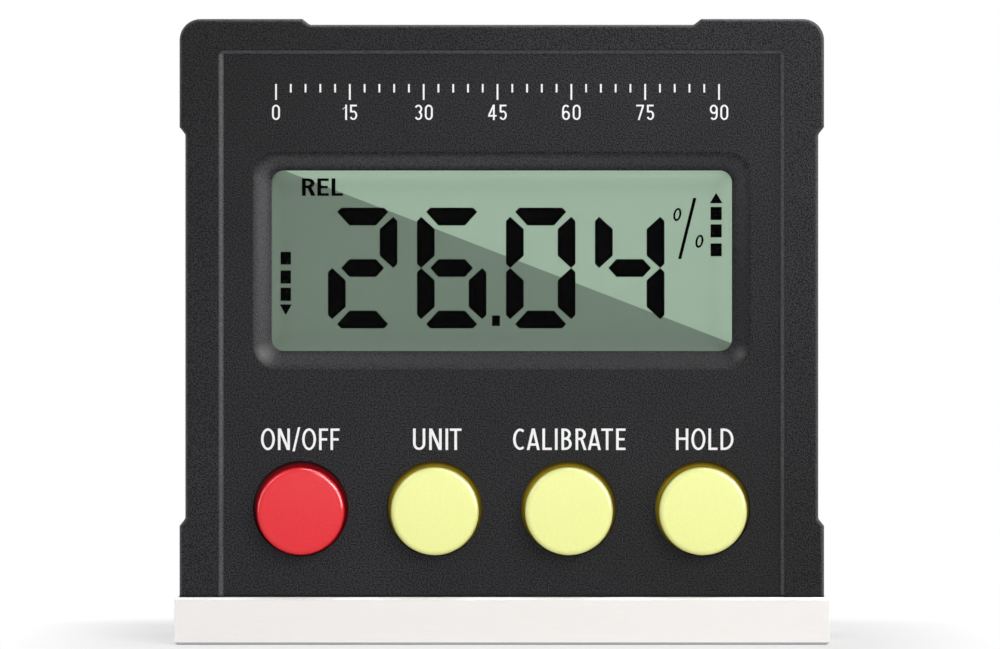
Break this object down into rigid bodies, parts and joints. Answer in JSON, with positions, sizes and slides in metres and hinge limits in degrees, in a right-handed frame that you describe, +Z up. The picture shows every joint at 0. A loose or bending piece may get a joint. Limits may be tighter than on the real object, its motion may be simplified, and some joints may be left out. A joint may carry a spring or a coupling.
{
  "type": "digital inclinometer",
  "caption": "Small digital inclinometer: black plastic box with a display and push buttons on a pale metal base with a magnetic V-groove.",
  "frame": {"origin": "middle of the underside of the base, under the middle of the housing", "axes": "+Z up, +X along the groove to the right of a person who reads the display, -Y out of the display"},
  "size_m": [0.062, 0.0314, 0.0593],
  "materials": {
    "black_plastic": "fine spark-eroded texture",
    "base_metal": "fine satin, pale",
    "lens_plastic": "clear, polished",
    "gasket_foam": "matt",
    "lcd_glass": "green-grey display with a film on its face",
    "reflector_film": "matt",
    "white_plastic": "satin",
    "zebra_rubber": "matt",
    "board_laminate": "solder mask, semi-gloss",
    "chip_plastic": "matt",
    "nickel_steel": "bright nickel",
    "screw_steel": "zinc",
    "magnet_nickel": "nickel plated",
    "switch_plastic": "matt",
    "red_plastic": "semi-gloss",
    "yellow_plastic": "semi-gloss",
    "cell_sleeve": "printed sleeve, semi-gloss",
    "capacitor_sleeve": "sleeve, semi-gloss"
  },
  "bodies": {
    "housing": {"base_magnets": "magnet_nickel", "base_plate": "base_metal", "base_screws": "screw_steel", "battery_link": "nickel_steel", "board_screws": "screw_steel", "calibrate_dome": "nickel_steel", "calibrate_switch": "switch_plastic", "controller_chip": "chip_plastic", "cover_screws": "screw_steel", "crystal": "nickel_steel", "display_lens": "lens_plastic", "front_cover": "black_plastic", "hold_dome": "nickel_steel", "hold_switch": "switch_plastic", "lcd_cell": "lcd_glass", "lcd_frame": "white_plastic", "lcd_reflector": "reflector_film", "lens_gasket": "gasket_foam", "link_spring": "nickel_steel", "lower_battery": "cell_sleeve", "main_board": "board_laminate", "negative_contact": "nickel_steel", "negative_spring": "nickel_steel", "positive_contact": "nickel_steel", "power_dome": "nickel_steel", "power_switch": "switch_plastic", "rear_cover": "black_plastic", "supply_capacitor": "capacitor_sleeve", "tilt_sensor": "chip_plastic", "unit_dome": "nickel_steel", "unit_switch": "switch_plastic", "upper_battery": "cell_sleeve", "zebra_strips": "zebra_rubber"},
    "door": {"battery_door": "black_plastic"},
    "power_key": {"power_button": "red_plastic", "power_plunger": "switch_plastic"},
    "unit_key": {"unit_button": "yellow_plastic", "unit_plunger": "switch_plastic"},
    "calibrate_key": {"calibrate_button": "yellow_plastic", "calibrate_plunger": "switch_plastic"},
    "hold_key": {"hold_button": "yellow_plastic", "hold_plunger": "switch_plastic"}
  },
  "joints": [
    {"name": "power_press", "type": "slide", "parent": "housing", "child": "power_key", "axis": [0, 1, 0], "range_m": [0, 0.0003], "stiffness_N_per_m": 800, "springref_m": -0.0005, "deforming": ["power_dome"]},
    {"name": "unit_press", "type": "slide", "parent": "housing", "child": "unit_key", "axis": [0, 1, 0], "range_m": [0, 0.0003], "stiffness_N_per_m": 800, "springref_m": -0.0005, "deforming": ["unit_dome"]},
    {"name": "calibrate_press", "type": "slide", "parent": "housing", "child": "calibrate_key", "axis": [0, 1, 0], "range_m": [0, 0.0003], "stiffness_N_per_m": 800, "springref_m": -0.0005, "deforming": ["calibrate_dome"]},
    {"name": "hold_press", "type": "slide", "parent": "housing", "child": "hold_key", "axis": [0, 1, 0], "range_m": [0, 0.0003], "stiffness_N_per_m": 800, "springref_m": -0.0005, "deforming": ["hold_dome"]},
    {"name": "door_slide", "type": "slide", "parent": "housing", "child": "door", "axis": [1, 0, 0], "range_m": [0, 0.045]}
  ]
}
